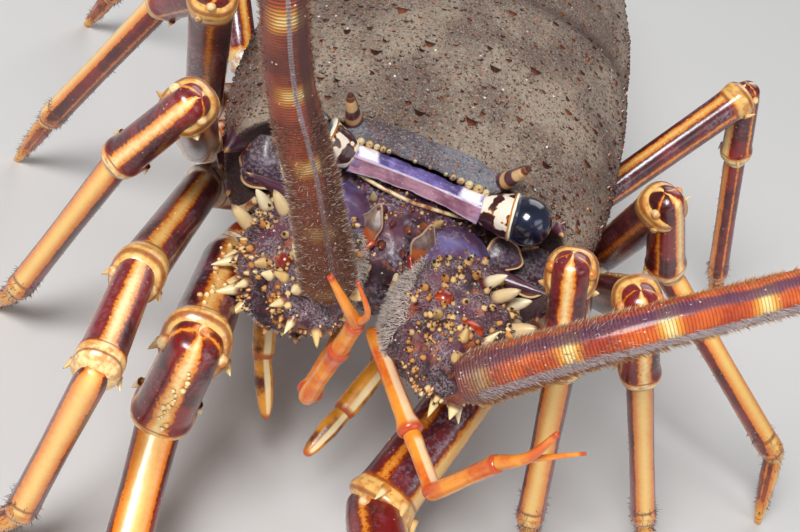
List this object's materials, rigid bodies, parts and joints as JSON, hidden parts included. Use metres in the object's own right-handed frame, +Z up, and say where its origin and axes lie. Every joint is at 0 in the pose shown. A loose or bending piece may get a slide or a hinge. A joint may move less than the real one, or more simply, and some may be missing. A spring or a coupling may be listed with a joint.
{
  "type": "spiny lobster figure",
  "caption": "Life-size spiny lobster standing with spread legs, long ringed feelers raised, horned spiny shell and arched tail.",
  "frame": {"origin": "Midpoint of the whole model's box on the floor, below the animal, so the feet stand at zero height.", "axes": "+Z is up from the floor. The animal faces -Y and its tail runs to +Y. Its own left side is toward +X."},
  "size_m": [0.4068, 0.3848, 0.3004],
  "materials": {
    "felted_shell": "shell under a fine grey-brown felt, dotted with small red-brown spines",
    "purple_plate": "smooth maroon and purple shell",
    "tail_shell": "smooth red-brown shell",
    "lilac_plate": "smooth lilac shell, satin",
    "blotched_stalk": "cream shell with dark red-brown blotches",
    "dark_eye": "polished blue-black eye",
    "horn_shell": "brown-purple horn with cream tip and ring",
    "spiny_shell": "rough dark shell set with cream spines",
    "feeler_shell": "finely ringed orange-red shell",
    "orange_limb": "smooth bright orange shell",
    "leg_upper": "dark maroon shell with a cream stripe",
    "leg_shank": "orange-yellow shell with maroon panels",
    "tail_fan": "ribbed red-brown tail plate"
  },
  "bodies": {
    "root": {"carapace": "felted_shell", "face": "purple_plate", "sternum": "tail_shell", "ocular_bar": "lilac_plate", "eyestalk_right": "blotched_stalk", "eye_right": "dark_eye", "horn_right": "horn_shell", "antenna_base_right": "lilac_plate", "antenna_block_right": "spiny_shell", "antenna_wrist_right": "spiny_shell", "feeler_right_lower": "feeler_shell", "feeler_right_upper": "feeler_shell", "antennule_right_stem": "orange_limb", "antennule_right_tip": "orange_limb", "maxilliped_right": "leg_shank", "leg_1_right_upper": "leg_upper", "leg_1_right_lower": "leg_shank", "leg_2_right_upper": "leg_upper", "leg_2_right_lower": "leg_shank", "leg_3_right_upper": "leg_upper", "leg_3_right_lower": "leg_shank", "leg_4_right_upper": "leg_upper", "leg_4_right_lower": "leg_shank", "leg_5_right_upper": "leg_upper", "leg_5_right_lower": "leg_shank", "eyestalk_left": "blotched_stalk", "eye_left": "dark_eye", "horn_left": "horn_shell", "antenna_base_left": "lilac_plate", "antenna_block_left": "spiny_shell", "antenna_wrist_left": "spiny_shell", "feeler_left_lower": "feeler_shell", "feeler_left_upper": "feeler_shell", "antennule_left_stem": "orange_limb", "antennule_left_tip": "orange_limb", "maxilliped_left": "leg_shank", "leg_1_left_upper": "leg_upper", "leg_1_left_lower": "leg_shank", "leg_2_left_upper": "leg_upper", "leg_2_left_lower": "leg_shank", "leg_3_left_upper": "leg_upper", "leg_3_left_lower": "leg_shank", "leg_4_left_upper": "leg_upper", "leg_4_left_lower": "leg_shank", "leg_5_left_upper": "leg_upper", "leg_5_left_lower": "leg_shank", "abdomen_1": "tail_shell", "abdomen_2": "tail_shell", "abdomen_3": "tail_shell", "abdomen_4": "tail_shell", "abdomen_5": "tail_shell", "abdomen_6": "tail_shell", "telson": "tail_fan", "uropod_right_inner": "tail_fan", "uropod_right_outer": "tail_fan", "uropod_left_inner": "tail_fan", "uropod_left_outer": "tail_fan"}
  },
  "joints": []
}
